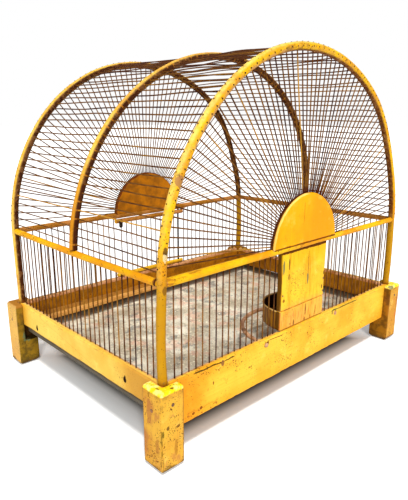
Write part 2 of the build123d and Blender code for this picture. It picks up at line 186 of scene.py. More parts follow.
# ---- node trees
def linear(colour):
    """A colour given as it looks on screen, 0 to 255, as the linear colour that nodes take."""
    levels = [level / 255 for level in colour]
    return *(v / 12.92 if v <= 0.04045 else ((v + 0.055) / 1.055) ** 2.4 for v in levels), 1


class Graph:
    """Short calls that build one material's node tree. Lengths are in millimetres."""

    def __init__(self, name, specular=0.08):
        self.material = bpy.data.materials.new(name)
        self.material.use_nodes = True
        self.tree = self.material.node_tree
        self.shader = self.tree.nodes["Principled BSDF"]
        self.shader.inputs["Specular IOR Level"].default_value = specular
        coordinates = self.node("ShaderNodeTexCoord")
        self.place = self.vector("SCALE", coordinates.outputs["Object"], scale=1 / MM)
        self.x, self.y, self.z = self.split(self.place)
        self.nx, self.ny, self.nz = self.split(coordinates.outputs["Normal"])
        self.seed = 0.0

    def node(self, kind, **settings):
        made = self.tree.nodes.new(kind)
        for key, value in settings.items():
            setattr(made, key, value)
        return made

    def put(self, socket, value):
        if isinstance(value, bpy.types.NodeSocket):
            self.tree.links.new(value, socket)
        else:
            socket.default_value = value

    def math(self, operation, a, b=0.0, c=0.0):
        made = self.node("ShaderNodeMath", operation=operation)
        for socket, value in zip(made.inputs, (a, b, c)):
            self.put(socket, value)
        return made.outputs[0]

    def plus(self, a, b):
        return self.math("ADD", a, b)

    def minus(self, a, b):
        return self.math("SUBTRACT", a, b)

    def absolute(self, a):
        return self.math("ABSOLUTE", a)

    def vector(self, operation, a, b=(0, 0, 0), scale=1.0):
        made = self.node("ShaderNodeVectorMath", operation=operation)
        self.put(made.inputs[0], a)
        self.put(made.inputs[1], b)
        if operation == "SCALE":
            self.put(made.inputs["Scale"], scale)
        return made.outputs["Value" if operation == "LENGTH" else "Vector"]

    def split(self, vector):
        made = self.node("ShaderNodeSeparateXYZ")
        self.put(made.inputs[0], vector)
        return made.outputs

    def noise(self, size, stretch=(1, 1, 1), detail=3.0, rough=0.55):
        """Values about 0.5, in patches of that size; stretch makes them longer along an axis."""
        self.seed += 7.3
        made = self.node("ShaderNodeTexNoise", noise_dimensions="4D")
        longer = tuple(1 / s for s in stretch)
        self.put(made.inputs["Vector"], self.vector("MULTIPLY", self.place, longer))
        self.put(made.inputs["W"], self.seed)
        self.put(made.inputs["Scale"], 1 / size)
        self.put(made.inputs["Detail"], detail)
        self.put(made.inputs["Roughness"], rough)
        return made.outputs["Fac"]

    def scaled(self, value, factor, start):
        return self.math("MULTIPLY_ADD", value, factor, start)

    def ragged(self, amount, size, **more):
        """Noise about zero, to make an edge uneven by about that amount."""
        return self.scaled(self.noise(size, **more), amount, -amount / 2)

    def torn(self, value, amount, size, **more):
        return self.plus(value, self.ragged(amount, size, **more))

    def raised(self, value, amount, size):
        """The value with noise of 0 to that amount added."""
        return self.plus(value, self.both(self.noise(size), amount))

    def patches(self, size, low, high, bottom=0.0, top=1.0, **more):
        """Noise in patches of that size: bottom where it is below low, top where it is above high."""
        return self.smooth(self.noise(size, **more), low, high, bottom, top)

    def pointiness(self):
        return self.node("ShaderNodeNewGeometry").outputs["Pointiness"]

    def far(self, a, b):
        """Distance from the origin to (a, b)."""
        return self.math("SQRT", self.plus(self.both(a, a), self.both(b, b)))

    def smooth(self, value, low, high, bottom=0.0, top=1.0):
        """bottom below low, top above high, and smooth between them."""
        made = self.node("ShaderNodeMapRange", interpolation_type="SMOOTHSTEP")
        turned = low > high
        bounds = (high, low, top, bottom) if turned else (low, high, bottom, top)
        for socket, number in zip(list(made.inputs)[1:5], bounds):
            self.put(socket, number)
        self.put(made.inputs[0], value)
        return made.outputs[0]

    def both(self, *masks):
        product = masks[0]
        for mask in masks[1:]:
            product = self.math("MULTIPLY", product, mask)
        return product

    def either(self, *masks):
        largest = masks[0]
        for mask in masks[1:]:
            largest = self.math("MAXIMUM", largest, mask)
        return largest

    def mix(self, share, first, second):
        """The two are outputs of nodes, or colours as they look on screen, 0 to 255."""
        made = self.node("ShaderNodeMix", data_type="RGBA")
        self.put(made.inputs[0], share)
        for socket, colour in zip(made.inputs[6:8], (first, second)):
            self.put(socket, linear(colour) if isinstance(colour, tuple) else colour)
        return made.outputs[2]

    def spot(self, at, size, rough_edge=0.5, grain=3.0):
        """A rough-edged blot; at and size are in millimetres, and 1 is inside it."""
        away = self.vector("SUBTRACT", self.place, at)
        scaled = self.vector("MULTIPLY", away, tuple(1 / s for s in size))
        distance = self.vector("LENGTH", scaled)
        return self.smooth(self.plus(distance, self.ragged(2 * rough_edge, grain)), 1.08, 0.82)

    def crack(self, along, across, start, end, level, width, wobble=1.5):
        """A wandering line: along and across are coordinates, level is where it runs."""
        wander = self.ragged(4 * wobble, 14, detail=5)
        off = self.absolute(self.minus(self.minus(across, level), wander))
        thickness = self.both(self.noise(9), 2 * width)
        line = self.smooth(self.minus(off, thickness), 0.25, 0.0)
        return self.both(line, self.smooth(along, start, start + 4), self.smooth(along, end, end - 4))

    def finish(self, colour, roughness, height=None, depth=0.3):
        """Plugs in the surface; depth is the bump's height in millimetres."""
        self.put(self.shader.inputs["Base Color"], colour)
        self.put(self.shader.inputs["Roughness"], roughness)
        if height is not None:
            bump = self.node("ShaderNodeBump")
            self.put(bump.inputs["Strength"], 1.0)
            self.put(bump.inputs["Distance"], depth * MM)
            self.put(bump.inputs["Height"], height)
            self.put(self.shader.inputs["Normal"], bump.outputs[0])
        return self.material


# ---- paint on wood
CHIP = (74, 44, 18)
RUST_STAIN = (140, 78, 18)
BARE_WOOD = (196, 150, 96)
SCRATCH = (150, 92, 26)


def facing_inside(g):
    """1 on faces that are turned to the cage's inside."""
    from_side = g.both(g.nx, -1, g.math("SIGN", g.x))
    from_end = g.both(g.ny, -1, g.math("SIGN", g.y))
    return g.either(from_side, from_end)


def aged_paint(name, colour, shade, inner, grain, marks, chips=1.0, wear=1.0, inward=facing_inside,
               inner_from=0.27, density=0.0):
    """Old brushed paint. grain is the direction of the brush strokes, as a stretch along each axis.
    inner is the colour where inward(graph) is over inner_from. marks(graph) gives rows of a mask,
    its strength and its colour."""
    g = Graph(name)
    paint = g.mix(g.patches(48, 0.38, 0.64), colour, shade)
    strokes = g.noise(2.0, grain, detail=4.0, rough=0.6)
    paint = g.mix(g.smooth(strokes, 0.42, 0.78, 0.0, 0.5), paint, shade)
    glow = g.mix(0.35, colour, (255, 240, 130))
    paint = g.mix(g.patches(13, 0.56, 0.74, 0.0, 0.55, detail=5), paint, glow)
    stain = g.patches(5.5, 0.56, 0.76, 0.0, 0.5, detail=6, rough=0.7)
    paint = g.mix(stain, paint, g.mix(0.45, shade, RUST_STAIN))
    # inner darkens the faces turned inward: partly dirty old paint, partly painted shade
    if inner is not None:
        turned_in = g.plus(inward(g), g.ragged(0.3, 6))
        dark = g.mix(g.patches(10, 0.35, 0.68, detail=5), inner, g.mix(0.5, inner, CHIP))
        paint = g.mix(g.smooth(turned_in, inner_from - 0.2, inner_from + 0.2), paint, dark)
    edge = g.smooth(g.pointiness(), 0.505, 0.56)
    rubbed = g.both(edge, g.patches(6, 0.48, 0.6, detail=5), wear)
    paint = g.mix(rubbed, paint, g.mix(g.noise(4), BARE_WOOD, RUST_STAIN))
    speck_size = g.patches(30, 0.35, 0.75, 0.70 - density, 0.60 - density)
    specks = g.smooth(g.minus(g.noise(1.9, detail=2.0), speck_size), 0.0, 0.03)
    specks = g.both(specks, chips)
    paint = g.mix(specks, paint, g.mix(g.patches(3, 0.4, 0.6), CHIP, RUST_STAIN))
    sunk = g.either(specks, g.both(rubbed, 0.6))
    for mask, strength, tone in marks(g):
        mask = g.both(mask, strength)
        paint = g.mix(mask, paint, tone)
        sunk = g.either(sunk, mask)
    flecks = g.smooth(g.minus(g.noise(1.5, detail=2.0), speck_size), 0.0, 0.03)
    paint = g.mix(g.both(flecks, 0.8 * chips), paint, CHIP)
    roughness = g.plus(g.scaled(g.noise(5), 0.3, 0.42), g.both(sunk, 0.25))
    height = g.scaled(strokes, 0.45, g.both(sunk, -0.7))
    height = g.plus(height, g.both(g.noise(11, detail=2), 0.8))
    return g.finish(paint, roughness, height)


def arch_places(g):
    """Height above the waist, angle and distance from the arch's axis."""
    above = g.minus(g.z, WAIST)
    return above, g.math("ARCTAN2", above, g.x), g.far(g.x, above)


def toward_axis(g):
    """1 on the side of a hoop that is turned to the arch's axis or to the cage's inside."""
    above = g.either(g.minus(g.z, WAIST), 0.0)
    along = g.plus(g.both(g.nx, g.x), g.both(g.nz, above))
    return g.both(g.math("DIVIDE", along, g.far(g.x, above)), -1.0)


def toward_axis_or_front(g):
    """The same for the two hoops behind the front one, which are dark on their front side too."""
    return g.either(toward_axis(g), g.both(g.ny, -0.95))


def from_nearest(g, steps):
    return g.minus(steps, g.math("ROUND", steps))


def wire_holes(g, radius):
    """Faint rings where the wires come through the hoops' faces, and through their rims."""
    above, turn, out = arch_places(g)
    steps = g.math("DIVIDE", turn, WIRE_STEP)
    off_line = g.minus(out, ARCH)
    off_plane = g.minus(g.absolute(g.y), HOOP_AT)
    ragged = g.ragged(3.0, 5)

    def holes(shift, across):
        along = g.both(from_nearest(g, g.plus(steps, shift)), WIRE_STEP * ARCH)
        return g.smooth(g.plus(g.far(along, across), ragged), radius, 0.5 * radius)

    return g.both(g.either(holes(0.0, off_line), holes(0.5, off_plane)), g.smooth(above, 0.0, 2.0))


YELLOW, YELLOW_DEEP = (236, 184, 16), (210, 140, 10)
CREAM, CREAM_DEEP = (240, 194, 60), (232, 162, 34)
# colour of the painted highlight on the front hoop's outer side
HIGHLIGHT_PALE = (255, 228, 124)
# ochre of the rails' inner faces, deepened as painted shade
INNER_OCHRE_AND_SHADE = (186, 120, 16)
PINKISH = (222, 164, 122)
TEAL = (92, 106, 74)
FOOT_BROWN = (120, 64, 12)
ALONG_X, ALONG_Y, ALONG_Z, ROUND = (30, 1, 1), (1, 30, 1), (1, 1, 30), (4, 4, 4)


def rail_top_marks(g, across, hoop_line, strength, *elsewhere):
    """Worn, pinkish upper strip of a rail's inner face, and the same on its top behind the wires."""
    top_z = RAIL_TOP
    level = g.torn(g.z, 4, 8, detail=4)
    strip = g.both(g.smooth(facing_inside(g), 0.4, 0.7), g.smooth(level, top_z - 5.0, top_z - 3.4))
    offset = g.torn(g.absolute(across), 3, 6, detail=4)
    behind = g.smooth(offset, hoop_line / MM + 1.2, hoop_line / MM)
    top = g.smooth(g.z, top_z - 2.0, top_z - 1.0)
    mottle = g.patches(5, 0.4, 0.62, detail=5)
    return [(strip, 0.85, g.mix(mottle, PINKISH, (190, 118, 62))),
            (g.both(top, g.either(behind, *elsewhere)), strength,
             g.mix(mottle, (226, 172, 120), (150, 96, 62)))]


def front_rail_marks(g):
    top_z, low_z, face = RAIL_TOP, RAIL_BOTTOM, FRONT_FACE
    front = g.smooth(g.y, face + 3, face + 1.6)
    found = rail_top_marks(g, g.y, HOOP_Y, 0.8, g.smooth(g.y, 0.0, 1.0))
    for start, end, level, width, wobble, strength, tone in (
        (-190, -126, top_z - 1.9, 0.45, 0.7, 1, (96, 72, 14)),
        (-70, -40, top_z - 2.6, 0.3, 0.8, 1, RUST_STAIN),
        (62, 130, top_z - 1.8, 0.45, 0.7, 1, (86, 92, 34)),
        (-200, -150, low_z + 9, 0.15, 3, 0.6, RUST_STAIN),
    ):
        found.append((g.both(front, g.crack(g.x, g.z, start, end, level, width, wobble)), strength, tone))
    for x, below, wide, tall, tone in (
        (-146, 4.0, 2.6, 3.4, (134, 84, 50)), (-178, 44, 2.2, 2.0, (120, 60, 14)),
        (-189, 46, 2.2, 1.6, (120, 60, 14)), (-70, 4.6, 1.7, 3.2, (120, 70, 24)),
        (66, 4.2, 1.5, 2.8, (84, 80, 40)), (-160, 22, 1.0, 2.2, RUST_STAIN),
        (10, 16, 1.2, 1.4, RUST_STAIN), (118, 30, 1.0, 1.2, RUST_STAIN),
    ):
        found.append((g.spot((x, face, top_z - below), (wide, 3, tall), 0.35, 2), 0.9, tone))
    dusk = g.both(front, g.smooth(g.x, -150, -210, 0.0, 0.8), g.patches(20, 0.25, 0.5))
    chipped_foot = g.both(front, g.smooth(g.x, -120, -160), g.patches(3.4, 0.56, 0.62, detail=4),
                          g.smooth(g.z, low_z + 14, low_z + 4))
    # gap: painted shade, with some dirt, on the rear rail's inner face at its left end, under the side rail
    gap = g.both(g.smooth(g.y, 120, 130), g.smooth(g.x, -196, -208), g.smooth(g.ny, -0.4, -0.8),
                 g.smooth(g.z, SIDE_RAIL_BOTTOM + 3, SIDE_RAIL_BOTTOM - 2))
    low = g.smooth(g.raised(g.z, 12, 14), low_z + 26, low_z + 8)
    return [(g.both(front, low), 0.5, (240, 160, 30)), (dusk, 1, (224, 138, 24)), *found,
            (chipped_foot, 0.8, (150, 84, 24)), (gap, 1, (64, 40, 10))]


def left_rail_marks(g):
    face, low_z = LEFT_FACE, SIDE_RAIL_BOTTOM
    outside = g.smooth(g.absolute(g.x), -face - 3, -face - 1.6)
    found = rail_top_marks(g, g.x, HOOP_X, 0.75)
    near_end = g.both(outside, g.smooth(g.raised(g.y, 30, 18), -58, -100))
    far_end = g.both(outside, g.smooth(g.y, 118, 146))
    found += [(near_end, 0.8, (196, 138, 52)), (far_end, 0.8, (222, 150, 8))]
    size = 2.9
    for y, z in ((103, low_z + 8), (-98, low_z + 13.5)):
        hole = g.either(g.spot((face, y, z), (3, size, 1.2 * size), 0.25, 2),
                        g.spot((face, y - 0.5, z + 2.6), (3, 0.45 * size, size), 0.25, 2))
        found.append((hole, 1, (30, 8, 2)))
    slope = g.scaled(g.y, -0.16, g.z)
    fine = g.both(outside, g.crack(g.y, slope, -40, 96, low_z + 12, 0.06, 1.2))
    edge = g.both(outside, g.smooth(g.z, low_z + 3.0, low_z + 1.0))
    return [*found, (fine, 0.55, (176, 116, 34)), (edge, 0.55, (150, 96, 34))]


def leg_marks(g):
    """Bright top edges, feet darker towards the bottom, painted shade in the notches, and the blots of the
    legs that show best.
    """
    top_z = LEG_TOP
    top = g.smooth(g.raised(g.z, 2, 9), top_z - 3.4, top_z - 1.6)
    under_top = g.both(g.smooth(g.z, top_z - 10, top_z - 4), g.patches(6, 0.44, 0.6, detail=5))
    foot = g.smooth(g.torn(g.z, 14, 7, detail=5), 8.0, 2.0)
    rear_left = g.both(g.smooth(g.x, -205, -209), g.smooth(g.y, 139, 141))
    olive = g.both(rear_left, g.smooth(g.ny, -0.4, -0.7))
    # the right leg's inward face is dark: partly dirty paint, partly painted shade
    right_leg = g.both(g.smooth(g.x, 200, 208), g.smooth(g.nx, -0.4, -0.7))
    purple = g.patches(15, 0.53, 0.66, 0.0, 0.65, stretch=(1, 1, 1.6), detail=5)
    corner = g.both(g.smooth(g.absolute(g.x), 238.4, 239.2), g.smooth(g.absolute(g.y), 169.4, 170.2),
                    g.patches(7, 0.46, 0.56, stretch=(1, 1, 2), detail=5), g.smooth(g.z, 84, 60))
    # painted shade on the upward faces in the leg's notch
    notch_shade = g.both(g.smooth(g.nz, 0.5, 0.8), g.smooth(g.z, top_z - 20, top_z - 30))
    dirty_edge = g.both(g.smooth(g.pointiness(), 0.50, 0.54),
                        g.patches(8, 0.45, 0.6, stretch=(1, 1, 2), detail=5))
    found = [
        (purple, 1, (172, 104, 62)),
        (dirty_edge, 0.6, (112, 88, 24)),
        (olive, 0.9, g.mix(g.patches(9, 0.4, 0.6, detail=4), (140, 108, 22), (92, 74, 20))),
        (right_leg, 0.85, g.mix(g.patches(9, 0.4, 0.6, detail=4), (150, 98, 14), (96, 62, 10))),
        (under_top, 0.45, (120, 92, 22)),
        (top, 1, g.mix(g.smooth(g.y, -20, 20),
                       g.mix(g.patches(6, 0.45, 0.6), (244, 212, 20), (255, 238, 130)),
                       (166, 112, 40))),
        (corner, 0.8, (108, 84, 20)),
        (g.both(rear_left, g.smooth(g.nx, -0.5, -0.8)), 0.5, (232, 190, 112)),
        (notch_shade, 1, (60, 46, 16)),
        (foot, 0.9, (84, 60, 24)),
    ]
    for at, size, strength, tone in (
        ((-226, 142, 42), (8, 3, 9), 0.85, TEAL),
        # a dark blot in the hollow under the rear-left rail: partly dirt, partly painted shade
        ((-218, 142, 60), (14, 3, 5), 0.85, (64, 40, 12)),
        ((-240, -152, 62), (3, 4, 14), 0.6, (160, 92, 56)),
        ((-240, -164, 30), (3, 3, 9), 0.5, (150, 84, 44)),
        ((-232, -171, 50), (2, 4, 2), 0.8, CHIP),
        ((-219, -171, 47), (2.5, 4, 1.5), 0.8, (110, 70, 20)),
        ((-238, -171, 46), (1.5, 3, 4), 0.8, (96, 84, 20)),
        ((-222, -171, 24), (2, 4, 8), 0.5, RUST_STAIN),
        ((-235, -160, top_z - 1), (1.4, 3.0, 3.0), 0.8, (130, 96, 20)),
        ((-224, -168, top_z - 1), (2.4, 1.6, 3.0), 0.85, (96, 44, 14)),
        ((214, -171, top_z - 1), (6, 6, 3), 0.85, (122, 120, 92)),
        ((226, -171, 66), (2.2, 3, 3.0), 0.6, (206, 110, 60)),
        ((234, -171, 40), (2.2, 3, 5.0), 0.6, (206, 110, 60)),
    ):
        found.append((g.spot(at, size, 0.9, 5), strength, tone))
    return found


def painted_highlight_side(g):
    """The hoops' outer side, which gets a painted highlight that makes it palest."""
    mottle = g.patches(7, 0.35, 0.6, 0.3, 0.8, detail=4)
    return g.both(g.smooth(toward_axis(g), -0.35, -0.95), mottle)


def limb_foot(g):
    return g.smooth(g.raised(g.z, 5, 5), RAIL_TOP + 9, RAIL_TOP + 1)


def front_hoop_marks(g):
    """A painted highlight and wear outside and above, deeper yellow below, with chips on the near limb."""
    above, turn, out = arch_places(g)
    high = g.smooth(above, 30, 130, 0.15, 0.8)
    holes = g.both(wire_holes(g, 0.95), g.patches(16, 0.44, 0.56))
    worn = g.both(high, g.patches(4, 0.50, 0.60, detail=5, rough=0.7))
    # a painted highlight on the hoop's outer side, strongest high on the arch
    found = [(g.both(painted_highlight_side(g), high), 1, HIGHLIGHT_PALE), (worn, 0.45, (206, 150, 84)),
             (g.smooth(above, 20, -20), 0.85, (178, 128, 14)), (holes, 0.6, (116, 64, 14))]
    for height, size, strength, tone in (
        (92, 4.5, 0.75, (150, 104, 70)), (31, 2.6, 0.85, (80, 54, 24)),
        (25, 2.6, 0.7, (222, 206, 160)), (-6, 2.6, 0.7, (96, 60, 20)),
    ):
        x = -math.sqrt((ARCH) ** 2 - height ** 2)
        at = (x, -HOOP_AT - 4, WAIST + height)
        found.append((g.spot(at, (size, 4, 1.6 * size), 0.9, 4), strength, tone))
    angle = g.both(turn, 180 / math.pi)
    off_line = g.minus(out, ARCH)
    inner_edge = g.smooth(g.torn(off_line, 3, 8), -0.6, -1.8)
    streak = g.both(inner_edge, g.smooth(angle, 100, 106), g.smooth(angle, 152, 144),
                    g.patches(13, 0.4, 0.52))
    bare = g.both(g.smooth(angle, 92, 96), g.smooth(angle, 109, 104),
                  g.patches(7, 0.5, 0.58, detail=5), g.smooth(off_line, 2.0, 0.0))
    limb = g.smooth(g.z, WAIST + 40, WAIST)
    small = g.both(limb, g.patches(4.5, 0.64, 0.69, stretch=(1, 1, 1.8), detail=3))
    return [*found, (streak, 0.7, (196, 142, 90)), (bare, 0.6, (120, 84, 40)),
            (small, 0.75, g.mix(g.patches(30, 0.45, 0.55), (126, 74, 18), TEAL)),
            (limb_foot(g), 0.75, FOOT_BROWN)]


def hoop_marks(g):
    """The wires' holes, and beads of fresher paint under the wires that cross the middle hoop."""
    above, turn, _ = arch_places(g)
    part = g.absolute(from_nearest(g, g.math("DIVIDE", turn, WIRE_STEP)))
    at_wire = g.both(g.smooth(part, 0.13, 0.05), g.patches(9, 0.44, 0.54))
    middle = g.smooth(g.absolute(g.y), 60, 40)
    foot = limb_foot(g)
    low_limb = g.both(middle, g.smooth(above, 120, 40), g.smooth(g.x, 0, -1))
    # the low limb gets painted light on its outer side and painted shade on its inner side
    lit_or_dark = g.mix(g.smooth(toward_axis(g), -0.85, -0.5), (192, 122, 12), (66, 26, 6))
    rear_right = g.both(g.smooth(above, 6, -6), g.smooth(g.x, 0, 1), g.smooth(g.y, 60, 70))
    # a painted highlight on the hoop's outer side
    return [(painted_highlight_side(g), 0.7, (250, 214, 110)),
            (low_limb, 0.85, lit_or_dark),
            (rear_right, 0.8, (192, 138, 18)),
            (wire_holes(g, 1.0), 0.6, (58, 26, 6)),
            (g.both(middle, at_wire), 0.5, (206, 132, 36)),
            (foot, 0.75, FOOT_BROWN)]


def panel_marks(g):
    """Vertical scratches, a crack from the top, painted shade under the waist rail, the wavy joint and the
    pinkish worn foot.
    """
    top, face = panel_high.z / MM, panel_low.y / MM
    foot_z = feeder_low.z / MM
    front = g.smooth(g.y, face + 2.4, face + 1.2)
    height = g.minus(g.z, foot_z)
    worn = g.both(front, g.smooth(g.torn(height, 26, 14), 40, 12))
    streaks = g.both(front, g.patches(1.8, 0.55, 0.65, stretch=(1, 1, 9), detail=3),
                     g.smooth(g.raised(height, 16, 9), 44, 24))
    deep = g.patches(9, 0.48, 0.64, stretch=(1, 1, 3), detail=4)
    brushed = g.both(front, g.patches(5, 0.5, 0.68, stretch=(1, 1, 7), detail=4))
    # painted shade along the panel's top, under the waist rail
    shade_under_rail = g.both(front, g.smooth(g.torn(g.z, 4, 9, detail=4), top - 3.5, top - 2.5))
    crack = g.both(front, g.crack(g.z, g.x, top - 40, top - 4, 7.4, 0.25, 1.2))
    joint = g.both(front, g.crack(g.x, g.z, -44, 44, feeder_high.z / MM + 0.5, 0.1, 0.3))
    found = [(g.smooth(g.nx, -0.5, -0.8), 0.95, (84, 46, 6)),
             (g.both(front, g.smooth(g.z, top - 30, top - 8)), 0.55, YELLOW),
             (brushed, 0.6, (208, 136, 10)),
             (worn, 0.6, g.mix(deep, (238, 166, 84), (222, 134, 60))),
             (streaks, 0.7, (190, 104, 44)),
             (crack, 0.85, (110, 66, 14)),
             (shade_under_rail, 1, (92, 48, 6)),
             (joint, 0.6, (150, 88, 24)),
             (g.both(front, g.smooth(height, 1.6, 0.5)), 0.8, (110, 62, 20))]
    for x, z, wide, tall, tone in (
        (-42, top - 18, 1.9, 9, TEAL), (-31.5, top - 16, 1.3, 7, CHIP), (-31.5, top - 32, 1.1, 4, CHIP),
        (7.4, top - 42, 1.8, 9, TEAL), (6, top - 82, 1.1, 8, CHIP), (5, top - 96, 1.0, 4, CHIP),
        (17, top - 96, 1.0, 5, RUST_STAIN), (-18, foot_z + 4, 1.4, 4, CHIP),
        (-40, top - 60, 2.4, 2.4, RUST_STAIN), (28, foot_z + 10, 1.0, 7, RUST_STAIN),
        (40, foot_z + 38, 1.6, 3, CHIP), (43, foot_z + 56, 1.5, 3, CHIP),
    ):
        found.append((g.spot((x, face, z), (wide, 3, tall), 0.6, 3), 0.85, tone))
    return found


def board_marks(g):
    """A thin split, painted shade along its foot, a dark rim and a painted highlight on its edge."""
    face = g.smooth(g.absolute(g.y), -board_low.y / MM - 3, -board_low.y / MM - 1)
    above, _, out = arch_places(g)
    split = g.both(face, g.crack(g.z, g.x, WAIST + 27, WAIST + 54, -8, 0.16, 0.5))
    radius = board_high.x / MM
    rim = g.smooth(g.raised(out, 3, 6), radius - 0.6, radius + 0.8)
    # painted shade in the crease along the board's foot
    foot = g.smooth(g.torn(above, 2, 9), 4.4, 3.0)
    dusk = g.smooth(g.raised(g.x, 14, 20), -34, -60)
    return [(g.both(face, foot), 0.9, (110, 56, 4)),
            (g.both(rim, g.minus(1.0, face)), 0.92, (98, 38, 8)),
            # a painted highlight on the rim's edge
            (g.both(rim, face, g.smooth(g.x, 4, -8)), 0.7, (255, 222, 120)),
            (g.both(face, dusk), 0.35, (214, 140, 4)),
            (split, 1, (150, 84, 4))]


def waist_marks(g):
    """Brown sides towards the inside, rubbed and partly painted shade, painted shade where the side rails
    meet the front hoop, and the scratched left end of the front rail.
    """
    front = g.smooth(g.y, -140, -145)
    # inside: the inward faces are rubbed and carry painted shade
    inside = g.smooth(facing_inside(g), 0.0, 0.45)
    rubbed = g.mix(g.patches(7, 0.38, 0.6, stretch=(3, 3, 1), detail=4), SCRATCH, (186, 122, 66))
    left_end = g.both(front, g.smooth(g.x, -150, -185), g.patches(4, 0.5, 0.6, stretch=(5, 1, 1), detail=4))
    brown = g.patches(15, 0.58, 0.68, 0.0, 0.6, detail=5)
    under = g.both(g.smooth(g.nz, -0.5, -0.85), g.patches(6, 0.4, 0.6, stretch=(6, 1, 1)))
    # painted shade on the side waist rails just behind the front hoop
    shade_behind_limb = g.both(g.smooth(g.y, -LIMB_Y + 5, -LIMB_Y + 2), g.smooth(g.y, -LIMB_Y - 1, -LIMB_Y))
    return [(shade_behind_limb, 1, (74, 36, 6)), (inside, 0.9, rubbed), (left_end, 0.7, SCRATCH),
            (brown, 1, (170, 104, 34)), (under, 0.5, (206, 150, 84))]


# ---- other materials
def rusty_wire():
    """tone on the mesh: 0 is nearly black, 0.4 rusty brown, 1 golden with old paint."""
    g = Graph("rusty_wire", specular=0.1)
    tone = g.node("ShaderNodeAttribute", attribute_name="tone").outputs["Fac"]
    brown = g.mix(g.patches(9, 0.3, 0.7, detail=4), (86, 48, 12), (124, 80, 24))
    colour = g.mix(g.smooth(tone, 0.45, 1.0), brown, (196, 142, 44))
    colour = g.mix(g.smooth(tone, 0.32, 0.0, 0.0, 0.85), colour, (48, 16, 10))
    above, _, out = arch_places(g)
    beside = g.both(g.smooth(out, board_high.x / MM + 8, board_high.x / MM + 3), g.smooth(above, 1, 3),
                    g.smooth(g.absolute(g.y), HOOP_AT - 20, HOOP_AT - 10))
    colour = g.mix(g.both(beside, 0.85), colour, (78, 26, 8))
    crown = g.smooth(g.z, (WAIST_Z + 0.86 * HOOP_X) / MM, (WAIST_Z + 0.98 * HOOP_X) / MM)
    colour = g.mix(g.both(crown, 0.6), colour, (74, 32, 22))
    roughness = g.scaled(g.noise(2), 0.3, 0.5)
    return g.finish(colour, roughness, g.noise(0.7), 0.12)


def mottled_zinc():
    """Galvanised sheet under a film of dirt: fine warm mottling over broad pale and grey patches."""
    g = Graph("mottled_zinc", specular=0.15)
    inside = g.both(g.smooth(g.nz, 0.3, 0.7), g.smooth(g.z, tray_low.z / MM + 6, tray_low.z / MM + 3))
    pale = g.mix(g.patches(38, 0.4, 0.6, detail=4), (200, 188, 162), (255, 250, 230))
    pale = g.mix(g.patches(26, 0.5, 0.66, 0.0, 0.75, detail=4), pale, (232, 186, 158))
    pale = g.mix(g.patches(18, 0.54, 0.64, 0.0, 0.8, stretch=(1.6, 1, 1), detail=5), pale, (146, 146, 138))
    pale = g.mix(g.patches(5.5, 0.52, 0.66, 0.0, 0.6, detail=5, rough=0.7), pale, (126, 104, 80))
    pale = g.mix(g.patches(3.6, 0.53, 0.62, 0.0, 0.9, detail=4, rough=0.7), pale, (255, 250, 226))
    pale = g.mix(g.patches(1.5, 0.64, 0.7, 0.0, 0.8, detail=2), pale, (84, 60, 40))
    outer = g.mix(g.noise(6, (5, 5, 1), detail=4), (52, 50, 42), (112, 100, 80))
    ragged = g.ragged(8, 12, detail=4)
    from_end = g.plus(g.absolute(g.y), ragged)
    from_side = g.plus(g.absolute(g.x), ragged)
    # a painted shade band along the tray's edges, under the guides and rails
    painted_edge_shade = g.either(g.smooth(from_end, tray_high.y / MM - 15, tray_high.y / MM - 8),
                         g.smooth(from_side, tray_high.x / MM - 15, tray_high.x / MM - 8))
    colour = g.mix(inside, outer, g.mix(g.both(painted_edge_shade, 0.85), pale, (70, 54, 38)))
    roughness = g.scaled(g.noise(8), 0.35, 0.45)
    return g.finish(colour, roughness, g.noise(6, detail=5), 0.35)


def pale_floor():
    """White and faintly glowing, so that shadows stay light; a painted shadow makes it dark only well under
    the cage.
    """
    g = Graph("floor", specular=0.1)
    from_side = g.minus(LEG_SIDE - 16, g.absolute(g.x))
    from_front = g.minus(LEG_FRONT, g.absolute(g.y))
    depth = g.math("MINIMUM", from_side, from_front)
    g.shader.inputs["Emission Color"].default_value = (0.9, 0.96, 1, 1)
    # the glow fades out where the painted shadow begins
    g.put(g.shader.inputs["Emission Strength"], g.smooth(depth, 5, 45, 0.24, 0.0))
    # dusk is the colour of the painted shadow deep under the cage
    white, dusk = (250, 250, 250), (58, 54, 48)
    return g.finish(g.mix(g.smooth(depth, 30, 56), white, dusk), 0.8)


def stained_wood(name, light, dark, grain, painted_shade_top=None):
    g = Graph(name, specular=0.1)
    rings = g.noise(1.8, grain, detail=5, rough=0.65)
    colour = g.mix(g.smooth(rings, 0.35, 0.7), light, dark)
    # a painted shade on the upward faces
    if painted_shade_top:
        colour = g.mix(g.smooth(g.nz, 0.5, 0.8, 0.0, 0.8), colour, painted_shade_top)
    colour = g.mix(g.patches(14, 0.5, 0.75, 0.0, 0.6, detail=5), colour, CHIP)
    roughness = g.scaled(rings, 0.3, 0.45)
    return g.finish(colour, roughness, rings, 0.25)


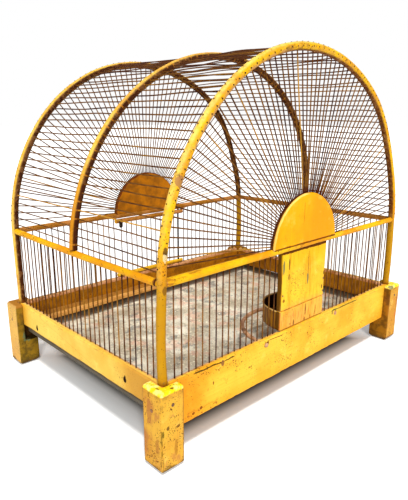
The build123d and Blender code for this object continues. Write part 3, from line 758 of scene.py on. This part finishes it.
def painted_tin():
    """Rubbed ochre paint outside with painted vertical reflections, and painted shade inside."""
    g = Graph("painted_tin", specular=0.2)
    # the vertical streaks and pale stretched patches are painted reflections on the tin
    streaks = g.noise(4, (1, 1, 9), detail=3)
    outside = g.mix(g.smooth(streaks, 0.4, 0.62), (172, 116, 20), (104, 64, 12))
    outside = g.mix(g.patches(5, 0.56, 0.7, 0.0, 0.7, stretch=(1, 1, 5)), outside, (206, 158, 44))
    rim = g.smooth(g.z, cup_high.z / MM - 2.0, cup_high.z / MM - 1.0)
    away = g.vector("SUBTRACT", g.place, (0, cup_low.y / MM, 0))
    ax, ay, _ = g.split(away)
    facing = g.plus(g.both(g.nx, ax), g.both(g.ny, ay))
    # painted shade inside the cup
    colour = g.mix(g.smooth(facing, 2.0, -2.0), outside, (46, 18, 8))
    colour = g.mix(g.both(rim, 0.8), colour, (206, 166, 96))
    roughness = g.scaled(g.noise(6), 0.3, 0.3)
    return g.finish(colour, roughness, g.noise(7), 0.3)


def old_iron(name, light, dark, rough_low=0.35, metal=0.55):
    g = Graph(name, specular=0.5)
    colour = g.mix(g.patches(3, 0.4, 0.65, detail=4), dark, light)
    g.shader.inputs["Metallic"].default_value = metal
    roughness = g.scaled(g.noise(2), 0.3, rough_low)
    return g.finish(colour, roughness, g.noise(1.2, detail=4), 0.2)


MATERIALS = {
    "leg_paint": aged_paint("leg_paint", (222, 170, 56), (202, 140, 42), (150, 98, 16),
                            ALONG_Z, leg_marks, density=0.025),
    "frame_paint": aged_paint("frame_paint", CREAM, CREAM_DEEP, INNER_OCHRE_AND_SHADE, ALONG_X, front_rail_marks,
                              density=0.01),
    "side_rail_paint": aged_paint("side_rail_paint", (242, 204, 92), (234, 182, 70), INNER_OCHRE_AND_SHADE,
                                  ALONG_Y, left_rail_marks, chips=0.6),
    # the hoops' inner colour, on the side turned to the axis, is partly unpainted dirty cane and partly
    # painted shade
    "front_hoop_paint": aged_paint("front_hoop_paint", YELLOW, YELLOW_DEEP, (98, 48, 4), ROUND,
                                   front_hoop_marks, inward=toward_axis, inner_from=0.66),
    "hoop_paint": aged_paint("hoop_paint", (222, 164, 22), (190, 118, 12), (62, 22, 2), ROUND,
                             hoop_marks, inward=toward_axis_or_front, inner_from=0.66),
    "waist_paint": aged_paint("waist_paint", YELLOW, (222, 148, 12), None, ROUND, waist_marks),
    "board_paint": aged_paint("board_paint", (242, 170, 0), (232, 150, 2), (196, 118, 8),
                              ALONG_Z, board_marks, chips=0.25, wear=0.5),
    "panel_paint": aged_paint("panel_paint", (246, 198, 48), (232, 164, 32), (150, 96, 20),
                              ALONG_Z, panel_marks, chips=0.9),
    "wire_iron": rusty_wire(),
    "tray_zinc": mottled_zinc(),
    "perch_cane": stained_wood("perch_cane", (216, 170, 132), (156, 104, 72), (6, 6, 1)),
    # the guides' top faces get a painted shade
    "batten_wood": stained_wood("batten_wood", (242, 182, 100), (210, 142, 60), ALONG_X,
                                painted_shade_top=(150, 96, 22)),
    "door_wood": stained_wood("door_wood", (250, 200, 44), (212, 150, 26), ALONG_X),
    "cup_wood": stained_wood("cup_wood", (110, 70, 28), (58, 32, 12), ALONG_X),
    "cup_tin": painted_tin(),
    "hinge_iron": old_iron("hinge_iron", (60, 36, 20), (26, 14, 8)),
    "catch_iron": old_iron("catch_iron", (66, 44, 24), (28, 18, 12)),
    "nail_iron": old_iron("nail_iron", (150, 94, 36), (84, 50, 16), metal=0.0),
    "pin_steel": old_iron("pin_steel", (206, 200, 186), (140, 134, 120), 0.25),
}
make_floor(half_size=20, lift=-0.2 * MM, material=pale_floor())
SPECIAL = {"rail_left": "side_rail_paint", "rail_right": "side_rail_paint", "hoop_front": "front_hoop_paint"}


def material_of(node):
    return MATERIALS[SPECIAL.get(node, SLOT_OF[node])]


# ---- making pieces
def place_piece(mesh, node):
    """Makes a piece of the mesh, with its CAD node's material, and lets it stand for that node."""
    piece = new_object(mesh.name, mesh)
    mesh.materials.clear()
    mesh.materials.append(material_of(node))
    for polygon in mesh.polygons:
        polygon.use_smooth = True
    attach(piece, BODY_OF[node])
    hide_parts(node)


def worn_wood(node, voxel, sway, nibble, reshape=None):
    """The CAD node's wood with softened edges, uneven faces and nibbled corners. Sizes in millimetres.
    reshape(points) may give the whole piece another form at the end."""
    mesh = frame["nodes"][node].data.copy()
    welded = bmesh.new()
    welded.from_mesh(mesh)
    bmesh.ops.remove_doubles(welded, verts=welded.verts, dist=0.01 * MM)
    welded.to_mesh(mesh)
    welded.free()
    block = new_object(node + "_block", mesh)
    remesh = block.modifiers.new("remesh", "REMESH")
    remesh.mode = "VOXEL"
    remesh.voxel_size = voxel * MM
    even = bpy.data.meshes.new_from_object(block.evaluated_get(bpy.context.evaluated_depsgraph_get()))
    bpy.data.objects.remove(block)
    points = coordinates(even)
    normals = np.array([v.normal for v in even.vertices])
    corner = 1.0 - np.abs(normals).max(axis=1)
    shift = np.zeros(len(points))
    for i, point in enumerate(points):
        spot = Vector(point) / MM
        shift[i] = sway * noise.noise(spot / 38)
        if corner[i] > 0.06:
            bite = noise.noise(spot / 9) + 0.5 * noise.noise(spot / 3.5)
            shift[i] -= nibble * min(1.0, 4 * corner[i]) * (0.25 + 1.3 * max(0.0, bite - 0.12))
    points += normals * (shift * MM)[:, None]
    if reshape:
        points = reshape(points)
    even.vertices.foreach_set("co", points.astype(np.float32).ravel())
    even.update()
    even.name = node + "_wood"
    place_piece(even, node)


def tube_mesh(name, routes, radii, sides, tones=None):
    """One mesh of round tubes with closed ends. Each route is an array of points, and each radius
    a number or one number for each point, and so is each of the tones."""
    vertices, faces, values = [], [], []
    for number, route in enumerate(routes):
        route = np.asarray(route, float)
        radius = np.broadcast_to(np.asarray(radii[number], float), (len(route),))
        tangents = np.gradient(route, axis=0)
        tangents /= norm(tangents, axis=1)[:, None]
        helper = np.eye(3)[np.abs(tangents[0]).argmin()]
        side = np.cross(tangents[0], helper)
        base = sum(len(block) for block in vertices)
        rings = []
        for point, tangent, size in zip(route, tangents, radius):
            side = side - tangent * (side @ tangent)
            side /= norm(side)
            other = np.cross(tangent, side)
            angles = np.arange(sides) * 2 * math.pi / sides
            rings.append(point + size * (np.cos(angles)[:, None] * side + np.sin(angles)[:, None] * other))
        vertices.append(np.vstack(rings))
        for i in range(len(route) - 1):
            for j in range(sides):
                a, b = base + i * sides + j, base + i * sides + (j + 1) % sides
                faces.append((a, b, b + sides, a + sides))
        faces.append(tuple(base + j for j in reversed(range(sides))))
        faces.append(tuple(base + (len(route) - 1) * sides + j for j in range(sides)))
        tone = np.broadcast_to(np.asarray(tones[number] if tones else 0.5, float), (len(route),))
        values += np.repeat(tone, sides).tolist()
    mesh = bpy.data.meshes.new(name)
    mesh.from_pydata(np.vstack(vertices).tolist(), [], faces)
    attribute = mesh.attributes.new("tone", "FLOAT", "POINT")
    attribute.data.foreach_set("value", values)
    mesh.update()
    return mesh


def wavy(start, end, sway, dice, bends=(1, 2, 3), steps=14):
    """Points of a wire that is not quite straight: it leaves its two ends by up to sway millimetres."""
    along = end - start
    length = norm(along)
    helper = np.eye(3)[np.abs(along).argmin()]
    first = np.cross(along, helper)
    first /= norm(first)
    second = np.cross(along / length, first)
    t = np.linspace(0, 1, steps + 1)
    route = start + t[:, None] * along
    for direction in (first, second):
        for count in bends:
            size = dice.gauss(0, 1) * sway * MM / count
            route += size * np.sin(count * math.pi * t)[:, None] * direction
    return route


def tone_of(route, dice):
    """Most wires are rusty brown, a few much darker or golden with paint, and dirty at their ends."""
    own = min(1.0, max(0.0, dice.gauss(0.36, 0.16)))
    phase = dice.uniform(0, 100)
    tones = np.array([own + 0.3 * noise.noise(Vector(p) / MM / 22 + Vector((phase, 0, 0))) for p in route])
    from_end = np.minimum(*(norm(route - end, axis=1) for end in (route[0], route[-1])))
    tones -= 0.5 * np.exp(-((from_end / (9 * MM)) ** 2))
    return np.clip(tones, 0.0, 1.0)


def wire_piece(node, routes, dice):
    tones = [tone_of(route, dice) for route in routes]
    place_piece(tube_mesh(node + "_bent", routes, [VISIBLE_WIRE_R] * len(routes), 8, tones), node)


# ---- wood
for names, voxel, sway, nibble in (
    ("leg_front_left leg_front_right leg_rear_left leg_rear_right", 1.1, 0.35, 1.1),
    ("rail_front rail_rear rail_left rail_right", 1.5, 0.45, 1.0),
    ("gable_board_front gable_board_rear front_panel feeder_front", 0.9, 0.2, 0.45),
    ("tray_guide_front tray_guide_rear tray_runner_front tray_runner_rear", 1.4, 0.3, 0.7),
    ("waist_rail_right door_top_bar door_bottom_bar", 0.8, 0.3, 0.0),
):
    for name in names.split():
        worn_wood(name, voxel, sway, nibble)


def sagging(points):
    """The left waist rail hangs a little in its middle."""
    shaped = points.copy()
    shaped[:, 2] -= 1.2 * MM * np.cos(points[:, 1] / HOOP_Y * math.pi / 2)
    return shaped


def deeper_over_door(points):
    """The rear waist rail is left thicker on its underside where the door shuts against it."""
    shaped = points.copy()
    below = np.minimum(points[:, 2] - WAIST_Z, 0)
    over_door = np.clip((DOOR_X + 6 * MM - np.abs(points[:, 0] - 7 * MM)) / (8 * MM), 0, 1)
    shaped[:, 2] += 0.35 * below * over_door
    return shaped


def tapered(points):
    """The front waist rail is thicker at its left end than at its right."""
    axis = np.array([0, -HOOP_Y, WAIST_Z])
    thickness = np.interp(points[:, 0], (-HOOP_X, 0, HOOP_X), (1.18, 1.0, 0.93))
    shaped = axis + (points - axis) * thickness[:, None]
    shaped[:, 0] = points[:, 0]
    return shaped


for side, reshape in (("left", sagging), ("rear", deeper_over_door), ("front", tapered)):
    worn_wood("waist_rail_" + side, 0.8, 0.3, 0.0, reshape)


# ---- hoops
# smooth bumps by which the old, bent hoops run outside the true arch: angle, height and width,
# in degrees and millimetres
BUMPS = {"front": ((24, -7.0, 17), (68, -3.6, 26), (145, -1.0, 20)), "middle": (),
         "rear": ((20, -5.5, 13), (50, 2.0, 12), (115, 2.0, 28))}


def bulge(hoop, angle):
    """How far outside the true arch a hoop runs at an angle, in millimetres."""
    outside = 0.0 * angle
    for middle, height, width in BUMPS[hoop]:
        outside = outside + height * np.exp(-(((angle - middle) / width) ** 2))
    return outside


def hoop_route(hoop, y, foot_z, start_angle):
    """Centre line of a hoop: up one limb, round the arch and down the other. The right limb bows out."""
    degrees = np.arange(180 - start_angle, start_angle - 0.01, -0.5)
    radius = HOOP_X + bulge(hoop, degrees) * MM
    arch = np.stack([radius * np.cos(np.radians(degrees)), y + 0 * degrees,
                     WAIST_Z + radius * np.sin(np.radians(degrees))], axis=1)
    if foot_z is None:
        return arch
    z = np.arange(foot_z, WAIST_Z - 0.5 * MM, 2.5 * MM)
    up = (z - foot_z) / (WAIST_Z - foot_z)
    ends = bulge(hoop, np.array([180.0, 0.0])) * MM * np.minimum(1, 2 * up)[:, None]
    left_bow = 2.0 * MM * np.sin(math.pi * up) * (y < 0)
    left = np.stack([-HOOP_X - ends[:, 0] - left_bow, y + 0 * z, z], axis=1)
    bow = 2.4 * MM * np.sin(math.pi * up)
    right = np.stack([HOOP_X + ends[:, 1] + bow, y + 0 * z, z], axis=1)
    return np.vstack([left, arch, right[::-1]])


def cane_hoop(hoop, y, foot_z, start_angle, seed):
    route = hoop_route(hoop, y, foot_z, start_angle)
    if hoop == "middle":
        height = (route[:, 2] - MIDDLE_FOOT_Z) / (route[:, 2].max() - MIDDLE_FOOT_Z)
        route[:, 1] = MIDDLE_FOOT_Y + (MIDDLE_TOP_Y - MIDDLE_FOOT_Y) * height
    radii = []
    for i, point in enumerate(route):
        spot = Vector(point) / MM + Vector((seed, 0, 0))
        radii.append(ROD_R * (1 + 0.05 * noise.noise(spot / 25) + 0.03 * noise.noise(spot / 7)))
        held = min(1.0, (point[2] - route[0][2]) / (60 * MM))
        route[i] += held * 0.5 * MM * np.array(noise.noise_vector(spot / 90))
    place_piece(tube_mesh(f"hoop_{hoop}_cane", [route], [radii], 20), "hoop_" + hoop)


MIDDLE_START = math.degrees(math.asin((MIDDLE_FOOT_Z - WAIST_Z) / HOOP_X))
cane_hoop("front", -HOOP_Y, FOOT_Z, 0.0, 0)
cane_hoop("rear", HOOP_Y, FOOT_Z, 0.0, 500)
cane_hoop("middle", MIDDLE_FOOT_Y, None, MIDDLE_START, 900)


# ---- wires
dice = random.Random(11)
PROUD = 0.25 * MM  # the wires' ends show just outside the hoops


def on_arch(angle, hoop, y):
    """Point on a hoop's centre line at an angle in degrees."""
    radius = HOOP_X + float(bulge(hoop, np.array(angle))) * MM
    turn = math.radians(angle)
    return np.array([radius * math.cos(turn), y, WAIST_Z + radius * math.sin(turn)])


roof_routes = []
for start, end in rod_axes("roof_wires"):
    angle = math.degrees(math.atan2(start[2] - WAIST_Z, start[0]))
    height = max(0.0, (start[2] - WAIST_Z) / HOOP_X)
    sway = 0.3 + 1.3 * height ** 4
    front = on_arch(angle, "front", -HOOP_Y)
    rear = on_arch(angle, "rear", HOOP_Y)
    middle = on_arch(angle, "middle", MIDDLE_FOOT_Y + (MIDDLE_TOP_Y - MIDDLE_FOOT_Y) * height)
    beyond = np.array([0, ROD_R + PROUD, 0])
    inside = np.array([0, ROD_R, 0])
    first = wavy(front + inside, middle, sway, dice)
    second = wavy(middle, rear - inside, sway, dice)
    roof_routes.append(np.vstack([front - beyond, first, second[1:], rear + beyond]))
wire_piece("roof_wires", roof_routes, dice)

for end, sign in (("front", -1), ("rear", 1)):
    routes = []
    for pair in rod_axes("gable_wires_" + end):
        centre = np.array([0, sign * HOOP_Y, WAIST_Z])
        inner, outer = sorted(pair, key=lambda p: norm(p - centre))
        ray = (outer - centre) / norm(outer - centre)
        angle = math.degrees(math.atan2(ray[2], ray[0]))
        on_hoop = on_arch(angle, end, sign * HOOP_Y)
        body = wavy(inner, on_hoop - ray * ROD_R, 0.4, dice)
        routes.append(np.vstack([body, on_hoop + ray * (ROD_R + PROUD)]))
    wire_piece("gable_wires_" + end, routes, dice)

for node in ("front_wires_left", "front_wires_right", "rear_wires_left", "rear_wires_right",
             "side_wires_left", "side_wires_right", "door_wires"):
    routes = [wavy(start, end, 0.14, dice, bends=(1, 2)) for start, end in rod_axes(node)]
    if node == "front_wires_right":
        bent = routes[-3]
        bow = np.sin(np.linspace(0, math.pi, len(bent)))
        bent[:, 0] += 3.2 * MM * bow ** 2
    wire_piece(node, routes, dice)


# ---- perch ring
def perch_route():
    """The bent twig runs level, but it isn't a true half circle."""
    low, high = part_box("perch_ring")
    rod = (high.z - low.z) / 2
    radius = high.x - rod
    z = (low.z + high.z) / 2
    start_y = low.y + 2.0 * MM
    centre_y = high.y - rod - radius
    straight = [(radius, y, z) for y in (start_y - 2.0 * MM, start_y, centre_y)]
    half = [(radius * math.cos(a), centre_y + radius * math.sin(a), z)
            for a in np.radians(np.arange(3, 178, 3))]
    other = [(-x, y, z) for x, y, z in reversed(straight)]
    route = np.array(straight + half + other)
    for i, point in enumerate(route):
        free = min(1.0, max(0.0, (point[1] - rail_low.y) / (40 * MM) - 0.3))
        route[i] += free * 1.1 * MM * np.array(noise.noise_vector(Vector(point) / MM / 45))
    return route, rod


route, rod = perch_route()
radii = [rod * (1 + 0.09 * noise.noise(Vector(p) / MM / 11)) for p in route]
place_piece(tube_mesh("perch_twig", [route], [radii], 16), "perch_ring")


# ---- tray and cup
def sheet(name, grid, thickness):
    """A thin sheet over a grid of points, with its underside a little below it."""
    rows, columns = len(grid), len(grid[0])
    vertices = [tuple(point) for row in grid for point in row]
    faces = []
    for i in range(rows - 1):
        for j in range(columns - 1):
            a = i * columns + j
            faces.append((a, a + 1, a + columns + 1, a + columns))
    mesh = bpy.data.meshes.new(name)
    mesh.from_pydata(vertices, [], faces)
    thick = bmesh.new()
    thick.from_mesh(mesh)
    bmesh.ops.recalc_face_normals(thick, faces=thick.faces)
    bmesh.ops.solidify(thick, geom=thick.faces, thickness=thickness)
    thick.to_mesh(mesh)
    thick.free()
    return mesh


def joined(name, meshes):
    merged = bmesh.new()
    for mesh in meshes:
        merged.from_mesh(mesh)
    whole = bpy.data.meshes.new(name)
    merged.to_mesh(whole)
    merged.free()
    return whole


def dented_tray():
    """Sheet folded up at its four sides, with a rolled rim and a floor that is no longer flat."""
    sheet_t = 0.8 * MM
    half_x, half_y = tray_high.x - sheet_t, tray_high.y - sheet_t
    bottom, top = tray_low.z + sheet_t, tray_high.z - 1.1 * MM
    columns, rows = ([-half] * 2 + list(np.linspace(-half + 2 * MM, half - 2 * MM, count)) + [half] * 2
                     for half, count in ((half_x, 110), (half_y, 70)))
    grid = []
    for j, y in enumerate(rows):
        line = []
        for i, x in enumerate(columns):
            edge = i in (0, len(columns) - 1) or j in (0, len(rows) - 1)
            spot = Vector((x, y, 0)) / MM
            inner = min(1.0, min(half_x - abs(x), half_y - abs(y)) / (20 * MM))
            lift = inner * MM * max(0.0, 0.7 + 1.0 * noise.noise(spot / 60) + 0.35 * noise.noise(spot / 14))
            line.append((x, y, top if edge else bottom + lift))
        grid.append(line)
    floor = sheet("tray_floor", grid, sheet_t)
    rim = []
    corners = [(-half_x, -half_y), (half_x, -half_y), (half_x, half_y), (-half_x, half_y)]
    for (x0, y0), (x1, y1) in zip(corners, corners[1:] + corners[:1]):
        for t in np.linspace(0, 1, 60)[:-1]:
            x, y = x0 + (x1 - x0) * t, y0 + (y1 - y0) * t
            wave = 0.25 * MM * noise.noise(Vector((x, y, 0)) / MM / 40)
            rim.append((x, y, top + wave))
    rim.append(rim[0])
    roll = tube_mesh("tray_roll", [np.array(rim)], [0.75 * MM], 10)
    return joined("tray_dented", [floor, roll])


place_piece(dented_tray(), "tray")


def bent_cup():
    """Half-round tin wall, a little dented, with a rolled rim."""
    wall_t = 1.0 * MM
    radius = cup_high.x - wall_t / 2
    centre_y = cup_low.y
    angles = np.radians(np.linspace(0, 180, 91))
    grid = []
    for z in np.linspace(cup_low.z, cup_high.z - 0.9 * MM, 12):
        line = []
        for a in angles:
            spot = Vector((radius * math.cos(a), radius * math.sin(a), z)) / MM
            dent = 0.45 * MM * noise.noise(spot / 16) * min(1.0, 4 * math.sin(a))
            line.append(((radius + dent) * math.cos(a), centre_y + (radius + dent) * math.sin(a), z))
        grid.append(line)
    wall = sheet("cup_wall", grid, wall_t)
    roll = tube_mesh("cup_roll", [np.array(grid[-1])], [0.95 * MM], 10)
    return joined("cup_bent", [wall, roll])


place_piece(bent_cup(), "feeder_cup")

# ---- CAD pieces whose shape stays
for node, piece in frame["nodes"].items():
    if not piece.hide_render:
        piece.data.materials.clear()
        piece.data.materials.append(material_of(node))
